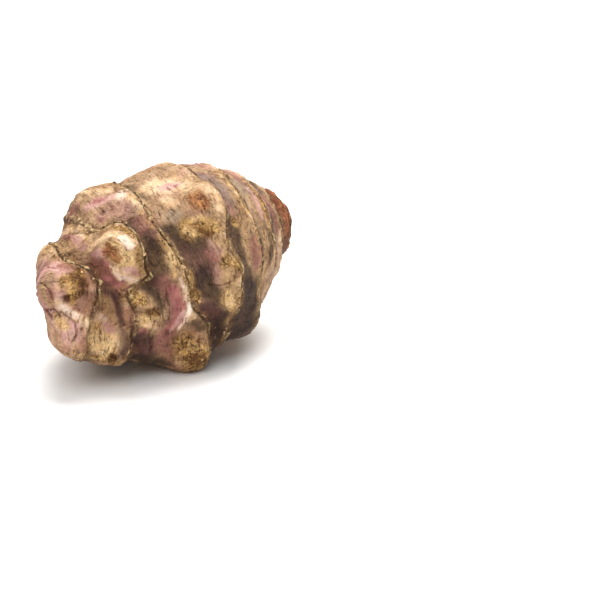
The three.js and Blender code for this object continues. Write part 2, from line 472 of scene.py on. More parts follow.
# touches of tone, laid one over another: the tone, how wide it is, and the places (at, turn) it runs through
touches = [
    # crown and chin
    ("lilac", 4.0, (-42, 20), (-41, 50), (-42, 85), (-40, 108)),
    ("tan", 3.0, (-43.5, 60), (-43, 84)),
    ("lilac", 3.2, (-40, 42), (-36, 50)),
    ("rose", 1.5, (-38, 44), (-35.4, 53)),
    ("beige", 1.6, (-41.6, 48), (-41, 58)),
    ("gold", 2.4, (-39.4, 62), (-36.4, 68)),
    ("umber", 1.8, (-36, 62), (-33, 70)),
    ("gold", 1.2, (-34.6, 58), (-33, 62)),
    ("fawn", 2.2, (-35.6, 77), (-33.6, 86)),
    ("umber", 1.4, (-35.6, 73), (-34, 78)),
    ("gold", 1.6, (-37.8, 74), (-37, 80), (-37.6, 86)),
    ("rose", 1.4, (-42.8, 68), (-42.4, 78)),
    ("honey", 1.6, (-42.2, 96), (-41, 103)),
    ("tan", 2.6, (-39, 106), (-37.5, 116)),
    ("lilac", 2.0, (-39.6, 103), (-37.5, 110)),
    ("rose", 1.4, (-37.6, 111), (-36.6, 117)),
    ("fawn", 1.4, (-34.4, 90), (-34.6, 98)),
    ("cream", 1.7, (-41.4, 80), (-40.4, 88), (-38.4, 94), (-35.4, 100)),
    ("pale", 1.0, (-40.8, 86), (-39, 92), (-36.8, 96)),
    # tip
    ("tan", 3.2, (-34, 10), (-32, 26), (-31.5, 38)),
    ("rose", 2.0, (-31.6, -12), (-30, -2), (-29.4, 6)),
    ("lilac", 2.4, (-29.6, 10), (-28.8, 22), (-29, 30)),
    ("beige", 1.6, (-31.6, 38), (-29.6, 46)),
    ("cream", 2.0, (-29, -26), (-27.6, -8), (-26.8, 10), (-27, 26), (-28, 36)),
    # cheek and the groove below it
    ("cream", 2.2, (-27, 36), (-24.4, 38), (-22.4, 44)),
    ("gold", 1.4, (-21.6, 33), (-20, 40), (-19.2, 46)),
    ("rose", 3.4, (-28.5, 48), (-29, 56), (-27.5, 70), (-25, 78)),
    ("lilac", 1.6, (-28.8, 45), (-27.6, 50)),
    ("blush", 1.4, (-27.6, 56), (-26.8, 63)),
    ("tan", 3.0, (-25, 54), (-22, 62)),
    ("honey", 2.4, (-24, 56), (-22, 58), (-20, 62)),
    ("rust", 1.3, (-25.6, 55), (-24.4, 58)),
    ("lilac", 1.6, (-23, 65), (-20.5, 68)),
    ("gold", 1.2, (-19, 52), (-18.6, 60), (-19, 68)),
    ("rust", 2.0, (-27.2, 50), (-25.2, 52)),
    ("honey", 1.0, (-25.4, 47), (-23.6, 50)),
    ("pale", 1.3, (-22.4, 45), (-21.6, 49), (-20.8, 52)),
    ("mauve", 2.4, (-29.6, 66), (-27, 77), (-25.4, 86), (-24.4, 100)),
    ("mauve", 1.3, (-30.4, 56), (-29.6, 64)),
    ("blush", 1.4, (-28, 66), (-25, 73), (-23, 78)),
    ("plum", 1.3, (-26.6, 80), (-25.6, 92), (-25.4, 104)),
    ("plum", 2.4, (-25.2, 108), (-24.8, 118), (-24, 128)),
    ("cream", 1.4, (-22, 72), (-20, 75)),
    ("cream", 1.6, (-26.4, 62), (-24, 67), (-22, 71)),
    ("pale", 0.8, (-25.6, 65), (-23.5, 70), (-20, 75)),
    # jaw
    ("fawn", 2.4, (-32.4, 80), (-31.4, 94)),
    ("tan", 2.4, (-29, 86), (-28.2, 97)),
    # partly painted light: the cream under the jaw's own gold makes it paler, standing in for light falling
    # on it though it faces down
    ("cream", 4.4, (-31.6, 100), (-29.6, 112), (-29.6, 122)),
    ("honey", 3.2, (-31.4, 106), (-29.4, 116), (-29.6, 124)),
    ("honey", 2.4, (-33.8, 104), (-33.2, 118)),
    ("lilac", 1.6, (-29.4, 104), (-28, 108)),
    ("pale", 1.0, (-30.4, 99), (-29.4, 102)),
    ("umber", 1.6, (-28.4, 124), (-27.4, 130)),
    ("gold", 1.8, (-33, 128), (-30, 130)),
    # brow
    ("beige", 5.0, (-25, -14), (-20, 4), (-18, 20)),
    ("rose", 2.0, (-28, -32), (-26, -24), (-24.4, -18)),
    ("cream", 1.8, (-21, -22), (-18, -14), (-15, -6)),
    ("lilac", 1.9, (-23, -10), (-19.6, -5), (-16, 2)),
    ("blush", 1.0, (-21, -9), (-18, -4)),
    ("fawn", 3.2, (-21.5, 10), (-18, 12), (-16, 20), (-18, 26)),
    ("rose", 1.2, (-23, 12), (-21.4, 16)),
    ("pale", 1.9, (-14.8, 3), (-12.8, 12)),
    ("cream", 1.9, (-13.2, 12), (-11.8, 22), (-11.8, 30)),
    # between the cheek and the waist, down to the lap
    ("rose", 3.4, (-14.4, 34), (-12.8, 40), (-14, 52)),
    ("mauve", 2.4, (-13, 46), (-13.4, 58)),
    ("taupe", 4.2, (-16, 50), (-14.4, 60), (-14.6, 72), (-17, 82)),
    ("tan", 1.8, (-10.4, 48), (-9.4, 62), (-9.6, 78)),
    ("honey", 1.2, (-10, 56), (-9.2, 64), (-9.4, 74)),
    ("plum", 3.0, (-15.5, 76), (-14, 86), (-13.5, 98)),
    ("rose", 3.8, (-12.4, 78), (-11, 92), (-11.4, 104), (-13, 116)),
    ("blush", 2.6, (-10.4, 84), (-8.8, 94), (-9.2, 103), (-12.4, 114)),
    ("mauve", 1.4, (-13.2, 86), (-12.4, 96), (-13.6, 104)),
    ("lilac", 1.1, (-8, 99), (-8.6, 105), (-11.6, 113)),
    ("pale", 1.0, (-8, 77), (-6.4, 86), (-5.8, 96), (-6.6, 106), (-8.5, 112)),
    ("tan", 4.0, (-21, 84), (-17, 88), (-16, 97), (-19, 103)),
    ("taupe", 2.0, (-19, 77), (-16.4, 82), (-15, 94)),
    ("gold", 1.8, (-22.6, 82), (-20.4, 86)),
    ("umber", 1.4, (-19.4, 92), (-16, 94)),
    ("honey", 1.8, (-21.6, 95), (-20, 102)),
    ("rose", 1.8, (-23.6, 90), (-23.4, 104)),
    ("cream", 1.6, (-19.6, 102), (-17, 105)),
    ("blush", 1.6, (-20.4, 107), (-19, 112)),
    ("plum", 4.4, (-21, 116), (-18, 121), (-17, 130)),
    # painted shade on the underside of the lap
    ("dusk", 4.0, (-21, 136), (-12, 138)),
    # behind the waist: shoulder, belly and heel
    ("beige", 4.4, (-9, -12), (-6, 0), (2, -4), (8, 2)),
    ("cream", 4.2, (-8, 10), (-3, 16), (2, 22)),
    ("lilac", 1.8, (-4, 17), (0, 20)),
    ("beige", 4.6, (-9.4, 26), (-7, 34), (-6.4, 40)),
    ("ash", 2.4, (-6.4, 38), (-3.6, 42)),
    ("cream", 1.8, (-6, 26), (-3.6, 33)),
    ("taupe", 3.4, (-8.5, 46), (-5.4, 52), (-3, 58)),
    ("mauve", 5.0, (-3.6, 61), (-1, 67), (1, 74)),
    ("taupe", 2.4, (-3.6, 56), (1, 59)),
    ("rose", 1.6, (1, 65), (3, 70)),
    ("fawn", 1.3, (2.8, 59), (4.4, 65), (5.2, 71)),
    ("tan", 4.0, (0, 30), (4, 38), (5, 50)),
    ("cream", 2.4, (0, 25), (5, 28), (7.4, 36), (7.2, 44)),
    ("rust", 2.4, (0.5, 33), (3, 40)),
    ("gold", 3.0, (-3.6, 48), (-0.6, 51)),
    ("honey", 1.6, (-3.6, 49), (-1.6, 51)),
    ("honey", 1.4, (-0.4, 45), (2, 47)),
    ("gold", 2.6, (1.2, 49), (5, 54)),
    ("umber", 1.4, (0.4, 52), (3.6, 55)),
    ("tan", 2.0, (5, 57), (7, 64), (8.4, 71)),
    ("dusk", 3.2, (-1.6, 76), (-0.6, 84), (0.4, 90)),
    ("taupe", 3.0, (1, 82), (2, 88), (2.6, 97)),
    ("fawn", 2.0, (3.6, 76), (4.2, 86)),
    ("plum", 4.6, (0, 100), (3, 107), (4, 118)),
    ("gold", 2.6, (6, 72), (8, 76)),
    ("tan", 2.8, (6.4, 78), (7, 88)),
    ("gold", 1.8, (-5, 77), (-4.4, 87), (-2.4, 94)),
    ("honey", 2.6, (6, 92), (7.2, 101)),
    ("rose", 3.6, (-13, 117), (-10, 126)),
    ("gold", 5.0, (-7, 121), (-3.4, 127), (-3, 136)),
    ("umber", 2.4, (-6, 128), (-1.5, 131)),
    ("taupe", 2.4, (-3.5, 109), (-0.6, 114)),
    # beyond the belly
    ("beige", 3.6, (9, -10), (12, 0), (14, 10)),
    ("tan", 2.6, (19, -8), (21, 6)),
    ("smoke", 3.6, (9.8, 12), (11.6, 26), (12.4, 40)),
    ("fawn", 2.0, (11.4, 38), (12.4, 46)),
    ("taupe", 2.4, (11.4, 50), (11.6, 60), (12.4, 76)),
    ("tan", 1.7, (14.4, 48), (15, 62), (15, 78)),
    ("gold", 1.3, (11.8, 49), (12.6, 52)),
    ("taupe", 2.4, (13, 78), (14.4, 86)),
    ("dusk", 3.8, (13.4, 90), (14.4, 98), (14.6, 106)),
    ("dusk", 2.0, (18.4, 89), (16, 94)),
    # painted shade on the underside beyond the belly
    ("dusk", 6.4, (5, 118), (10, 114), (15, 116)),
    ("dusk", 6.0, (5, 130), (12, 128), (18, 118)),
    ("tan", 2.0, (15.6, 8), (16.6, 30), (17.4, 46), (19, 60)),
    ("cream", 0.8, (15.8, 12), (17, 32), (18.6, 50)),
    ("ash", 3.0, (20.4, 12), (21.6, 34)),
    ("beige", 2.6, (22, 30), (22.6, 56)),
    ("lilac", 1.0, (24, 20), (24.6, 46)),
    ("rose", 2.4, (18, 62), (17.4, 80)),
    ("tan", 3.4, (24, 60), (23, 74), (21.6, 88), (20, 104)),
    ("taupe", 1.2, (21.4, 64), (21, 78), (20, 92)),
    ("taupe", 1.2, (26, 56), (25.4, 70), (24.4, 84)),
    ("rose", 1.2, (19.4, 66), (19, 78)),
    ("gold", 1.0, (25, 8), (25.8, 30), (26, 50)),
    ("fawn", 2.0, (28, 12), (28.4, 40)),
    ("rose", 1.6, (30.4, 20), (31, 58)),
    ("russet", 6.0, (37, 5), (40, 30), (40, 56)),
    # painted shade under the stem end
    ("dusk", 4.0, (40, 68), (36, 84)),
]

painting = {
    "touch": 0.9, "core": 0.4, "edge": 1.5, "slim": 0.4,  # how a touch covers, beside how wide it is
    "bend": 1.3, "bendPatch": 4,  # how far the touches' edges wander
    "knobGold": 0.5,
    "hollowReach": 4, "hollowShade": (0.38, 0.46, 0.5),  # painted shade in the hollows: what they lose of red, green and blue
    "saturation": 1.12, "contrast": 0.12, "middle": 0.34,
    "mottleEdge": 0.35,
}
finishNoise = {
    "broad": noise(plain, size=17, seed=201), "middling": noise(plain, size=11, seed=202),
    "small": noise(plain, size=6, seed=203), "mottle": noise(plain, size=3, seed=204, octaves=4, fall=0.7),
}
bends = [noise(plain, painting["bendPatch"], seed, octaves=4, fall=0.6) for seed in (211, 212, 213)]
warped = plain + painting["bend"] * np.stack(bends, 1)
normals = skinSlope(plain)
normals /= np.linalg.norm(normals, axis=1)[:, None]
# how deep each place lies between swellings, which sets how much shade is painted there
hollow = np.clip(1 - skinDistance(plain + normals * painting["hollowReach"]) / painting["hollowReach"], 0, 1)


def linear(tone):  # a tone given from 0 to 255, as light
    return ((np.array(tone) / 255 + 0.055) / 1.055) ** 2.4


paint = {"tint": np.tile(linear(tones["tan"]["main"]), (len(plain), 1)), "bark": np.full(len(plain), 0.5)}


def layTone(name, cover):
    tone = tones[name]
    mottle = ease(finishNoise["mottle"], -painting["mottleEdge"], painting["mottleEdge"])[:, None]
    own = linear(tone["main"]) * (1 - mottle) + linear(tone["second"]) * mottle
    paint["tint"] += cover[:, None] * (own - paint["tint"])
    paint["bark"] += cover * (tone["bark"] - paint["bark"])


# every internode is darker past its scar and paler towards the next, and the knobs' tips are golden
def paintInternodes():
    broad, middling, small = finishNoise["broad"], finishNoise["middling"], finishNoise["small"]
    layTone("tan", np.ones(len(plain)))
    layTone("beige", ease(small, -0.2, 0.5) * 0.8)
    layTone("beige", ease(plain[:, 0], 6, 16) * 0.7)
    layTone("lilac", ease(middling - small, 0, 0.6) * 0.6)
    layTone("blush", ease(middling, -0.2, 0.4) * ease(sinceScar, 1, 5) * 0.6)
    layTone("plum", ease(broad - small, 0.1, 0.7) * 0.5)
    layTone("taupe", (1 - ease(sinceScar, 1 + 1.5 * broad, 6 + 3 * broad)) * ease(middling, -0.7, 0.1) * 0.85)
    layTone("cream", (1 - ease(untilScar, 0.5 + small, 4 + 2 * small)) * ease(middling, -0.6, 0.2) * 0.7)
    for knob in knobs.values():
        tip = onSkin(knob["at"] - knob["lean"], knob["turn"])
        away = np.linalg.norm(plain - tip, axis=1) / knob["girth"]
        layTone("gold", (1 - ease(away + 0.3 * small, 0, 0.6)) * painting["knobGold"])


def paintTouches():
    for tone, wide, *way in touches:
        away = toWay(warped, way, painting["slim"]) / wide
        layTone(tone, painting["touch"] * (1 - ease(away, painting["core"], painting["edge"])))


# cork along the scars, painted shade in the gap just past each scar, and the russet neck with its dark and
# woody broken end
def paintScarsAndNeck():
    small, mottle = finishNoise["small"], finishNoise["mottle"]
    at = plain[:, 0]
    strip = bell(nearestPast + 0.7 * small, -0.5, 1.0) * ease(mottle, -0.5, 0.2)
    layTone("gold", strip * (0.25 + 0.35 * scarBoldness(turns, past)))
    layTone("russet", ease(at + small, 34, 38) * 0.45)
    layTone("dusk", ease(at + 0.3 * small, 42.4, 43.6) * ease(mottle, -0.9, 0.3) * 0.85)
    layTone("umber", ease(at, 43, 43.8) * ease(-mottle, -0.1, 0.5) * 0.5)
    # painted shade: a darker brown just past each scar, where its gap is shadowed
    layTone("umber", bell(nearestPast, 1.0, 0.7) * ease(-mottle, -0.2, 0.4) * 0.5)


# paints shade into the hollows, then makes the tones a little stronger
def shadeHollowsAndStrengthen():
    deep = ease(hollow + 0.1 * finishNoise["small"], 0, 0.35)[:, None]
    # painted shade: the hollows are darkened as if shade fell in them
    paint["tint"] *= 1 - deep * painting["hollowShade"]
    grey = paint["tint"].mean(1)[:, None]
    strong = grey + painting["saturation"] * (paint["tint"] - grey)
    paint["tint"] = strong * (grey / painting["middle"]) ** painting["contrast"]


paintInternodes()
paintTouches()
paintScarsAndNeck()
shadeHollowsAndStrengthen()
bark = paint["bark"]
print("skin painted")

# small relief, each kind with its height and the size of its features
lumps = {"swell": (0.45, 12), "lump": (0.45, 4.5), "crust": (0.3, 2.4), "wrinkle": (0.2, 1.5)}
crumbs = {"size": 1.6, "least": 0.1, "onBark": 0.6, "sunk": 0.2}
alongRings = 0.25  # how much a step along the rings counts, which makes the wrinkles long


def addedLumps():
    swell, lump, crust, wrinkle = lumps.values()
    added = swell[0] * noise(plain, swell[1], 1) + lump[0] * noise(plain, lump[1], 2)
    added += crust[0] * bark * noise(plain, crust[1], 6)
    along = grownPlace * (1, alongRings, alongRings)
    added += wrinkle[0] * noise(along, wrinkle[1], 3, octaves=2)
    crumbly = np.abs(noise(plain, crumbs["size"], 4, octaves=2)) - crumbs["sunk"]
    return added + (crumbs["least"] + crumbs["onBark"] * bark) * crumbly


relief = scarRelief(plain, past) + eyeRelief(plain) + foldRelief(foldGaps) + addedLumps()
shaped = plain + normals * relief[:, None]
shaped[:, 0] = np.minimum(shaped[:, 0], tuber["length"] / 2)
shaped[:, 2] = np.maximum(shaped[:, 2], -axisPlace[2])
skin.data.vertices.foreach_set("co", ((shaped + axisPlace) * mm).ravel())
skin.data.update()
skin.data.polygons.foreach_set("use_smooth", [True] * len(skin.data.polygons))
print("skin shaped")


# writes a value, a vector or a colour for each point of a mesh
def addValues(mesh, name, values, kind="FLOAT"):
    field = {"FLOAT": "value", "FLOAT_VECTOR": "vector", "FLOAT_COLOR": "color"}[kind]
    layer = mesh.attributes.new(name, kind, "POINT")
    layer.data.foreach_set(field, values.astype(np.float32).ravel())


farGap = 6  # gaps past this make no difference to the finish
# the eyes are their own brown, and darker the deeper the pit, as painted shade
eyeBrownAndShade = {"least": 0.15, "byDepth": 0.7}
grooves = [away for fold, away in zip(folds.values(), foldGaps) if fold["rise"] < 0]
sockets = []
for eye in eyes.values():
    darkness = min(1, eyeBrownAndShade["byDepth"] * eye["depth"] + eyeBrownAndShade["least"])
    sockets.append(bell(toEye(plain, eye), 0, eye["radius"]) * darkness)
addValues(skin.data, "bark", bark)
addValues(skin.data, "scarGap", np.clip(nearestPast, -farGap, farGap))
addValues(skin.data, "boldness", scarBoldness(turns, past))
addValues(skin.data, "grooveGap", np.min(grooves, axis=0).clip(0, farGap))
addValues(skin.data, "eyeDepth", np.max(sockets, axis=0))
addValues(skin.data, "grownPlace", grownPlace, "FLOAT_VECTOR")
addValues(skin.data, "tint", np.c_[paint["tint"].clip(0, 1), np.ones(len(plain))], "FLOAT_COLOR")


def colour(tone):
    return tuple(linear(tone)) + (1,)


def addNode(tree, kind, inputs, **settings):
    node = tree.nodes.new(kind)
    for name, value in settings.items():
        setattr(node, name, value)
    for name, value in inputs.items():
        if isinstance(value, bpy.types.NodeSocket):
            tree.links.new(value, node.inputs[name])
        else:
            node.inputs[name].default_value = value
    return node


def valueOf(tree, name):
    return addNode(tree, "ShaderNodeAttribute", {}, attribute_name=name).outputs["Fac"]


def combine(tree, operation, first, second=0.0):
    return addNode(tree, "ShaderNodeMath", {0: first, 1: second}, operation=operation).outputs[0]


def plus(tree, first, second):
    return combine(tree, "ADD", first, second)


def times(tree, first, second):
    return combine(tree, "MULTIPLY", first, second)


# how far a value is from a middle one, either way
def off(tree, value, middle):
    return combine(tree, "ABSOLUTE", combine(tree, "SUBTRACT", value, middle))


def scaled(tree, place, scale):
    return addNode(tree, "ShaderNodeVectorMath", {0: place, 1: scale}, operation="MULTIPLY").outputs[0]


# each point's place in millimetres
def objectPlace(tree):
    place = addNode(tree, "ShaderNodeTexCoord", {}).outputs["Object"]
    return scaled(tree, place, (1 / mm, 1 / mm, 1 / mm))


# a grain of the given size in millimetres, from 0 to 1
def grain(tree, place, size, detail=3.0, roughness=0.55):
    inputs = {"Vector": place, "Scale": 1 / size, "Detail": detail, "Roughness": roughness}
    return addNode(tree, "ShaderNodeTexNoise", inputs).outputs[0]


def fade(tree, value, low, high, start=0.0, end=1.0):
    inputs = {"Value": value, "From Min": low, "From Max": high, "To Min": start, "To Max": end}
    return addNode(tree, "ShaderNodeMapRange", inputs, interpolation_type="SMOOTHSTEP").outputs["Result"]


def blendColour(tree, share, first, second, mode="MIX"):
    node = addNode(tree, "ShaderNodeMix", {}, data_type="RGBA", blend_type=mode)
    sockets = [node.inputs["Factor"]] + [socket for socket in node.inputs if socket.type == "RGBA"]
    for socket, value in zip(sockets, (share, first, second)):
        if isinstance(value, bpy.types.NodeSocket):
            tree.links.new(value, socket)
        else:
            socket.default_value = value
    return [socket for socket in node.outputs if socket.type == "RGBA"][0]


def startMaterial(name):
    material = bpy.data.materials.new(name)
    material.use_nodes = True
    return material, material.node_tree, material.node_tree.nodes["Principled BSDF"]


skinLook = {
    "coarse": 2.4, "fine": 0.75, "wrinkle": 0.8, "wrinkleLong": 0.2, "fray": 1.6,  # sizes of the grains
    "lightGain": (1.4, 1.4, 1.3, 1), "roughness": (0.5, 0.8), "specular": 0.25, "bump": 0.7,
    "plate": 1.3, "plateBend": 2.2, "plateBendSize": 1.8,
    "lineSpread": 0.45,  # less than 1 makes the lines along the rings longer and fewer
    "paperAt": 0.9, "gapAt": 0.25,  # how far past the scar its papery edge and the gap under it lie
}
skinTones = {
    "darkGrain": (134, 106, 86), "wrinkle": (160, 134, 114), "plateDark": (180, 142, 110),
    # the scar line's tone is partly the scar's own dark mark and partly painted shadow under its papery edge
    "crack": (92, 62, 40), "scarLineAndShadow": (66, 44, 30), "paper": (244, 212, 154), "eye": (112, 68, 38),
    # the last tone here is painted shade for the grooves
    "grooveShade": (120, 92, 80),
}
# how high or deep each part of the finish stands
skinBumps = {"wrinkles": -0.9, "scarLineAndShadow": -1, "cracks": -0.9, "lines": -0.6, "plates": 0.8, "paper": 0.7}


# the places, values and grains that the skin's finish is made from
def skinParts(tree):
    place = objectPlace(tree)
    ringed = addNode(tree, "ShaderNodeAttribute", {}, attribute_name="grownPlace").outputs["Vector"]
    ringed = scaled(tree, ringed, (1, skinLook["wrinkleLong"], skinLook["wrinkleLong"]))
    fray = combine(tree, "SUBTRACT", grain(tree, place, skinLook["fray"], 4, 0.7), 0.5)
    return {
        "place": place, "ringed": ringed,
        "bark": valueOf(tree, "bark"), "boldness": valueOf(tree, "boldness"),
        "coarse": grain(tree, place, skinLook["coarse"], 4, 0.65),
        "fine": grain(tree, place, skinLook["fine"], 4, 0.75),
        "wrinkles": grain(tree, ringed, skinLook["wrinkle"], 4, 0.7),
        "fray": times(tree, fray, 2.0),
    }


def layOver(tree, cover, tint, tone, mode="MIX"):
    return blendColour(tree, cover, tint, colour(skinTones[tone]), mode)


# cork cracked into plates, each a little lighter or darker
def corkPlates(tree, parts, tint):
    bend = {"Vector": parts["place"], "Scale": 1 / skinLook["plateBendSize"], "Detail": 3.0}
    bend = addNode(tree, "ShaderNodeTexNoise", bend).outputs["Color"]
    bend = scaled(tree, bend, (skinLook["plateBend"],) * 3)
    bent = addNode(tree, "ShaderNodeVectorMath", {0: parts["place"], 1: bend}, operation="ADD").outputs[0]
    cells = {"Vector": bent, "Scale": 1 / skinLook["plate"]}
    plates = addNode(tree, "ShaderNodeTexVoronoi", cells).outputs["Color"]
    edges = addNode(tree, "ShaderNodeTexVoronoi", cells, feature="DISTANCE_TO_EDGE").outputs["Distance"]
    shade = addNode(tree, "ShaderNodeSeparateColor", {"Color": plates}).outputs[0]
    corky = fade(tree, parts["bark"], 0.35, 0.9)
    darker = times(tree, fade(tree, shade, 0.45, 0.1, 0, 0.7), corky)
    lighter = times(tree, fade(tree, shade, 0.6, 0.95, 0, 0.7), corky)
    cracks = times(tree, fade(tree, edges, 0.13, 0.02), fade(tree, parts["coarse"], 0.42, 0.55))
    parts["cracks"] = times(tree, cracks, fade(tree, parts["bark"], 0.2, 0.9, 0, 0.75))
    parts["plates"] = times(tree, shade, corky)
    tint = layOver(tree, darker, tint, "plateDark", "MULTIPLY")
    tint = blendColour(tree, lighter, tint, skinLook["lightGain"], "MULTIPLY")
    return layOver(tree, parts["cracks"], tint, "crack")


# thin lines along the rings
def ringLines(tree, parts, tint):
    spread = (skinLook["lineSpread"],) * 3
    lines = grain(tree, scaled(tree, parts["ringed"], spread), skinLook["wrinkle"], 2, 0.5)
    lines = fade(tree, off(tree, lines, 0.5), 0.018, 0.004)
    lines = times(tree, lines, fade(tree, grain(tree, parts["place"], 5, 2), 0.47, 0.6, 0, 0.8))
    parts["lines"] = times(tree, lines, fade(tree, parts["bark"], 0.15, 0.5, 0.2, 1))
    return layOver(tree, parts["lines"], tint, "crack")


# dark and light grains, which gather in patches and stand thickest on the bark
def skinGrains(tree, parts, tint):
    bark, coarse, fine, wrinkles = parts["bark"], parts["coarse"], parts["fine"], parts["wrinkles"]
    lightGain = skinLook["lightGain"]
    creases = times(tree, fade(tree, wrinkles, 0.52, 0.62), fade(tree, coarse, 0.4, 0.6, 0.3, 0.9))
    ridges = fade(tree, wrinkles, 0.47, 0.36, 0, 0.3)
    dark = times(tree, fade(tree, fine, 0.5, 0.6), fade(tree, coarse, 0.36, 0.58, 0.25, 1))
    dark = times(tree, dark, fade(tree, bark, 0, 1, 0.15, 1))
    light = times(tree, fade(tree, fine, 0.48, 0.38), fade(tree, coarse, 0.62, 0.42, 0.3, 1))
    light = times(tree, light, fade(tree, bark, 0, 1, 0.1, 0.8))
    pores = times(tree, fade(tree, grain(tree, parts["place"], 1.7, 1), 0.7, 0.76), bark)
    tint = layOver(tree, creases, tint, "wrinkle", "MULTIPLY")
    tint = blendColour(tree, ridges, tint, lightGain, "MULTIPLY")
    tint = layOver(tree, dark, tint, "darkGrain", "MULTIPLY")
    tint = blendColour(tree, light, tint, lightGain, "MULTIPLY")
    return layOver(tree, pores, tint, "scarLineAndShadow")


# the torn papery edge of each leaf scar, and the gap under it: a dark line that is partly the scar's own mark
# and partly painted shadow under the edge
def scarEdges(tree, parts, tint):
    place, boldness = parts["place"], parts["boldness"]
    frayed = plus(tree, valueOf(tree, "scarGap"), parts["fray"])
    torn = fade(tree, grain(tree, place, 2.0, 3), 0.46, 0.56)
    ragged = fade(tree, grain(tree, place, 1.2, 3), 0.35, 0.65, 0, 0.6)
    paper = plus(tree, off(tree, frayed, skinLook["paperAt"]), ragged)
    paper = times(tree, fade(tree, paper, 0.75, 0.3), torn)
    parts["paper"] = times(tree, paper, fade(tree, boldness, 0.2, 0.7, 0.3, 0.85))
    broken = fade(tree, grain(tree, place, 0.9, 2), 0.45, 0.7, 0, 0.3)
    # painted shadow under the papery edge, over the scar's own dark line
    scarLineAndShadow = plus(tree, off(tree, frayed, skinLook["gapAt"]), broken)
    lined = times(tree, fade(tree, grain(tree, place, 3.5, 2), 0.36, 0.52, 0.25, 1), boldness)
    parts["scarLineAndShadow"] = times(tree, fade(tree, scarLineAndShadow, 0.34, 0.12), lined)
    tint = layOver(tree, parts["paper"], tint, "paper")
    return layOver(tree, parts["scarLineAndShadow"], tint, "scarLineAndShadow")


# painted shade in the grooves, and the eyes' own brown
def groovesAndEyes(tree, parts, tint):
    grooveShade = plus(tree, valueOf(tree, "grooveGap"), times(tree, parts["fray"], 0.5))
    eye = plus(tree, valueOf(tree, "eyeDepth"), times(tree, parts["fray"], 0.4))
    # painted shade darkens the skin along the grooves
    tint = layOver(tree, fade(tree, grooveShade, 0.45, 0.1, 0, 0.6), tint, "grooveShade", "MULTIPLY")
    # the eyes' own brown, laid darker in deeper pits as painted shade
    return layOver(tree, fade(tree, eye, 0.35, 0.85, 0, 0.92), tint, "eye")


def skinMaterial():
    material, tree, shader = startMaterial("tuberSkin")
    parts = skinParts(tree)
    tint = addNode(tree, "ShaderNodeAttribute", {}, attribute_name="tint").outputs["Color"]
    for layer in (corkPlates, ringLines, skinGrains, scarEdges, groovesAndEyes):
        tint = layer(tree, parts, tint)
    tree.links.new(tint, shader.inputs["Base Color"])
    tree.links.new(fade(tree, parts["bark"], 0, 1, *skinLook["roughness"]), shader.inputs["Roughness"])
    shader.inputs["Specular IOR Level"].default_value = skinLook["specular"]
    height = times(tree, parts["fine"], fade(tree, parts["bark"], 0, 1, -0.9, -2.4))
    for part, rise in skinBumps.items():
        height = plus(tree, height, times(tree, parts[part], rise))
    bump = {"Height": height, "Distance": skinLook["bump"] * mm, "Strength": 1.0}
    bump = addNode(tree, "ShaderNodeBump", bump).outputs["Normal"]
    tree.links.new(bump, shader.inputs["Normal"])
    return material


skin.data.materials.clear()
skin.data.materials.append(skinMaterial())
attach(skin, "root")
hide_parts("tuber")
print("skin finished")


# scatters small shapes over chosen places of the skin; their X leads towards the bud end, and they are
# tilted at random, by as much as least and most say about each of their axes
def scatterTree():
    tree = bpy.data.node_groups.new("scatter", "GeometryNodeTree")
    wanted = {
        "Geometry": "Geometry", "Shape": "Object", "Least": "Vector", "Most": "Vector", "Seed": "Int",
        "Finish": "Material",
    }
    for name, kind in wanted.items():
        tree.interface.new_socket(name, in_out="INPUT", socket_type="NodeSocket" + kind)
    tree.interface.new_socket("Geometry", in_out="OUTPUT", socket_type="NodeSocketGeometry")
    given = tree.nodes.new("NodeGroupInput").outputs
    named = "GeometryNodeInputNamedAttribute"
    out = addNode(tree, named, {"Name": "out"}, data_type="FLOAT_VECTOR").outputs[0]
    size = addNode(tree, named, {"Name": "size"}, data_type="FLOAT").outputs[0]
    shape = addNode(tree, "GeometryNodeObjectInfo", {"Object": given["Shape"]}).outputs["Geometry"]
    upright = addNode(tree, "FunctionNodeAlignRotationToVector", {"Vector": out}, axis="Z").outputs[0]
    leading = {"Rotation": upright, "Vector": (-1, 0, 0)}
    led = addNode(tree, "FunctionNodeAlignRotationToVector", leading, axis="X", pivot_axis="Z").outputs[0]
    chance = {0: given["Least"], 1: given["Most"], "Seed": given["Seed"]}
    tilt = addNode(tree, "FunctionNodeRandomValue", chance, data_type="FLOAT_VECTOR").outputs[0]
    tilt = addNode(tree, "FunctionNodeEulerToRotation", {"Euler": tilt}).outputs[0]
    turned = {"Rotation": led, "Rotate By": tilt}
    turned = addNode(tree, "FunctionNodeRotateRotation", turned, rotation_space="LOCAL").outputs[0]
    placed = {"Points": given["Geometry"], "Instance": shape, "Rotation": turned, "Scale": size}
    placed = addNode(tree, "GeometryNodeInstanceOnPoints", placed).outputs[0]
    chance = addNode(tree, "FunctionNodeRandomValue", {2: 0.0, 3: 1.0, "Seed": given["Seed"]}).outputs[1]
    store = "GeometryNodeStoreNamedAttribute"
    shaded = {"Geometry": placed, "Name": "shade", "Value": chance}
    shaded = addNode(tree, store, shaded, data_type="FLOAT", domain="INSTANCE").outputs[0]
    joined = addNode(tree, "GeometryNodeRealizeInstances", {"Geometry": shaded}).outputs[0]
    finished = {"Geometry": joined, "Material": given["Finish"]}
    finished = addNode(tree, "GeometryNodeSetMaterial", finished).outputs[0]
    addNode(tree, "NodeGroupOutput", {"Geometry": finished})
    return tree


